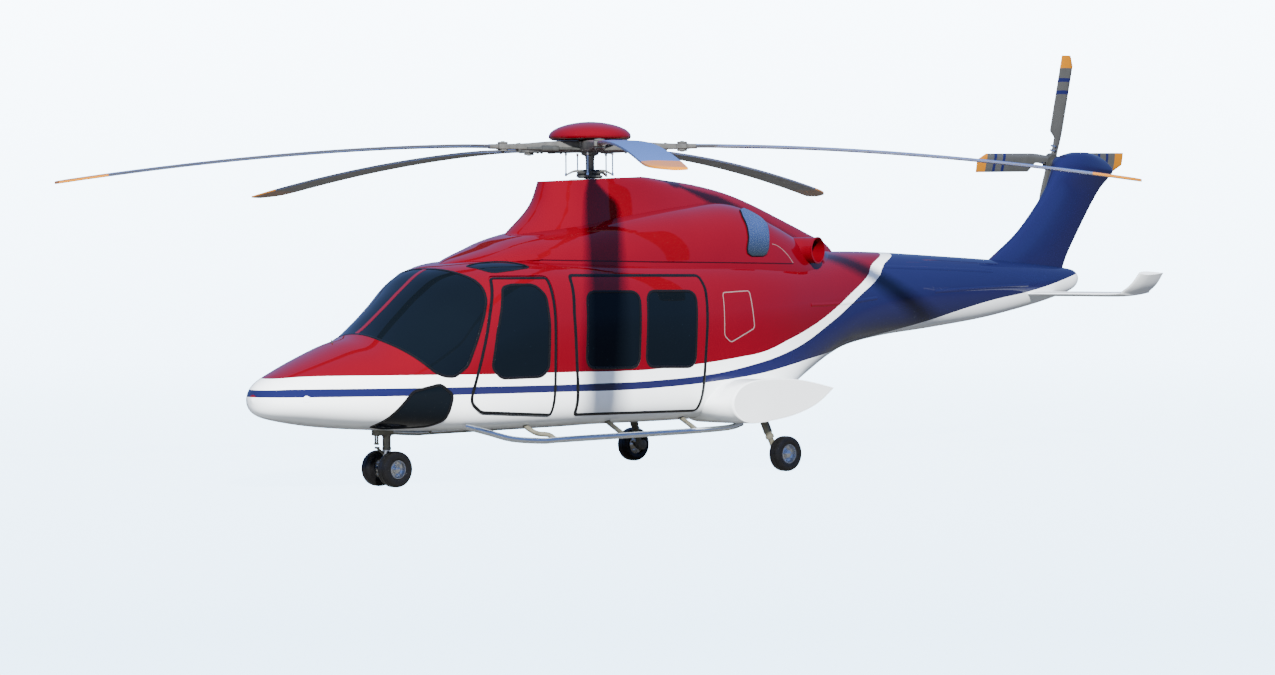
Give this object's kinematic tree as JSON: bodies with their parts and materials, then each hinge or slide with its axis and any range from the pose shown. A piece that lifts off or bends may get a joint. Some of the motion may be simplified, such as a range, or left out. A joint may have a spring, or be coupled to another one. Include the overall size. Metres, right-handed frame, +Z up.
{
  "type": "twin-engine medium helicopter on wheels",
  "caption": "Twin-engine helicopter on twin nose wheels and single main wheels, with a drooping main rotor, canted tail rotor, cabin doors and side sponsons.",
  "frame": {"origin": "on the ground, below the middle of the whole object's box", "axes": "+X forward (nose), +Y to port, +Z up"},
  "size_m": [15.8189, 11.4826, 5.1108],
  "materials": {
    "livery_paint": "glossy clear coat, red above a white and blue band, white below",
    "blue_paint": "glossy clear coat",
    "white_paint": "glossy",
    "tinted_glass": "dark blue-grey tint, glossy",
    "blade_coating": "satin grey with yellow-orange tip bands",
    "rotor_metal": "satin grey-green",
    "rim_metal": "bright satin",
    "rail_steel": "brushed",
    "tyre": "matt black",
    "seat_cover": "dark grey",
    "plate_metal": "polished, blue-grey reflections",
    "dark_plastic": "matt black",
    "engine_metal": "plain"
  },
  "bodies": {
    "airframe": {"cabin_shell": "livery_paint", "rear_fuselage": "livery_paint", "engine_cowling": "livery_paint", "cabin_door_left": "livery_paint", "cabin_door_right": "livery_paint", "exhaust_pipe_left": "livery_paint", "exhaust_pipe_right": "livery_paint", "tail_boom": "blue_paint", "fin": "blue_paint", "sponson_left": "white_paint", "sponson_right": "white_paint", "tailplane_left": "white_paint", "tailplane_right": "white_paint", "windscreen_left": "tinted_glass", "windscreen_right": "tinted_glass", "chin_window_left": "tinted_glass", "chin_window_right": "tinted_glass", "roof_window_left": "tinted_glass", "roof_window_right": "tinted_glass", "front_cabin_glass_left": "tinted_glass", "front_cabin_glass_right": "tinted_glass", "rear_cabin_glass_left": "tinted_glass", "rear_cabin_glass_right": "tinted_glass", "nose_leg": "rotor_metal", "main_leg_left": "rotor_metal", "main_leg_right": "rotor_metal", "step_rail_left": "rail_steel", "step_rail_right": "rail_steel", "pilot_seat_left": "seat_cover", "pilot_seat_right": "seat_cover", "cabin_bench": "seat_cover", "instrument_panel": "dark_plastic", "cowl_plate_left": "plate_metal", "cowl_plate_right": "plate_metal", "engine_left": "engine_metal", "engine_right": "engine_metal", "main_gearbox": "engine_metal"},
    "main_rotor": {"rotor_mast": "rotor_metal", "rotor_hub": "rotor_metal", "hub_cap": "livery_paint", "main_blade_1": "blade_coating", "main_blade_2": "blade_coating", "main_blade_3": "blade_coating", "main_blade_4": "blade_coating", "main_blade_5": "blade_coating"},
    "tail_rotor": {"tail_rotor": "blade_coating"},
    "nose_steering": {"nose_fork": "rotor_metal"},
    "nose_wheels": {"nose_wheel_rims": "rim_metal", "nose_tyre_left": "tyre", "nose_tyre_right": "tyre"},
    "main_wheel_left": {"main_rim_left": "rim_metal", "main_tyre_left": "tyre"},
    "cockpit_door_left": {"cockpit_door_left": "livery_paint", "cockpit_glass_left": "tinted_glass"},
    "baggage_door_left": {"baggage_door_left": "livery_paint"},
    "main_wheel_right": {"main_rim_right": "rim_metal", "main_tyre_right": "tyre"},
    "cockpit_door_right": {"cockpit_door_right": "livery_paint", "cockpit_glass_right": "tinted_glass"},
    "baggage_door_right": {"baggage_door_right": "livery_paint"}
  },
  "joints": [
    {"name": "main_rotor_spin", "type": "hinge", "parent": "airframe", "child": "main_rotor", "pos_m": [1.8755, 0.453, 3.4], "axis": [0, 0, 1], "continuous": true},
    {"name": "tail_rotor_spin", "type": "hinge", "parent": "airframe", "child": "tail_rotor", "pos_m": [-6.4695, 0.076, 3.708], "axis": [0, -0.9732, 0.23], "continuous": true},
    {"name": "nose_steer", "type": "hinge", "parent": "airframe", "child": "nose_steering", "pos_m": [4.7715, 0.453, 0.3], "axis": [0, 0, 1], "range_deg": [-60, 60]},
    {"name": "nose_wheel_spin", "type": "hinge", "parent": "nose_steering", "child": "nose_wheels", "pos_m": [4.7715, 0.453, 0.196], "axis": [0, 1, 0], "continuous": true},
    {"name": "main_wheel_left_spin", "type": "hinge", "parent": "airframe", "child": "main_wheel_left", "pos_m": [0.0905, 1.786, 0.203], "axis": [0, 1, 0], "continuous": true},
    {"name": "main_wheel_right_spin", "type": "hinge", "parent": "airframe", "child": "main_wheel_right", "pos_m": [0.0905, -0.88, 0.203], "axis": [0, 1, 0], "continuous": true},
    {"name": "cockpit_door_left_hinge", "type": "hinge", "parent": "airframe", "child": "cockpit_door_left", "pos_m": [4.4165, 1.498, 0.98], "axis": [0.2965, 0, -0.955], "range_deg": [0, 75]},
    {"name": "cockpit_door_right_hinge", "type": "hinge", "parent": "airframe", "child": "cockpit_door_right", "pos_m": [4.4165, -0.592, 0.98], "axis": [-0.2965, 0, 0.955], "range_deg": [0, 75]},
    {"name": "baggage_door_left_hinge", "type": "hinge", "parent": "airframe", "child": "baggage_door_left", "pos_m": [0.5255, 1.513, 2.079], "axis": [1, 0, 0], "range_deg": [0, 85]},
    {"name": "baggage_door_right_hinge", "type": "hinge", "parent": "airframe", "child": "baggage_door_right", "pos_m": [0.5255, -0.607, 2.079], "axis": [-1, 0, 0], "range_deg": [0, 85]}
  ]
}
